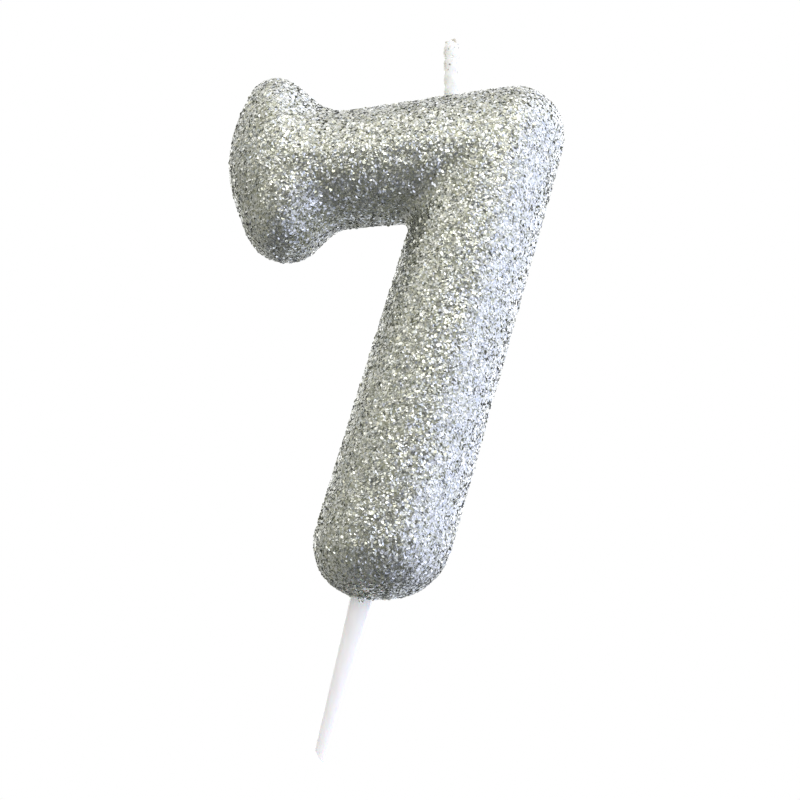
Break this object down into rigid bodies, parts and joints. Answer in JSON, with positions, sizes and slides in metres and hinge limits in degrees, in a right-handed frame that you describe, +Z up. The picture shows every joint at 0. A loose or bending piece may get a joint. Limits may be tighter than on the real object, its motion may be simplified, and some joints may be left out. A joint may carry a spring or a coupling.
{
  "type": "number birthday candle",
  "caption": "Numeral seven birthday candle: cast wax under a silver glitter skin, with a braided wick on top and a tapered white pick that pushes into a cake.",
  "frame": {"origin": "where the axis of the pick leaves the foot of the numeral, halfway through its thickness, which is level with the top of the cake", "axes": "+Z up with the numeral upright, +X to the right of someone reading it from the front, +Y from its front to its back"},
  "size_m": [0.0449, 0.0154, 0.095],
  "materials": {
    "wax": "cast paraffin wax",
    "glitter": "silver polyester glitter in clear lacquer",
    "wick_wax": "thin paraffin coat",
    "wick_cotton": "braided cotton",
    "pick_plastic": "injection-moulded polypropylene, semi-gloss"
  },
  "bodies": {
    "root": {"wax_numeral": "wax", "glitter_skin": "glitter", "wick_wax": "wick_wax", "wick_strand_1": "wick_cotton", "wick_strand_2": "wick_cotton", "wick_strand_3": "wick_cotton", "pick": "pick_plastic"}
  },
  "joints": []
}
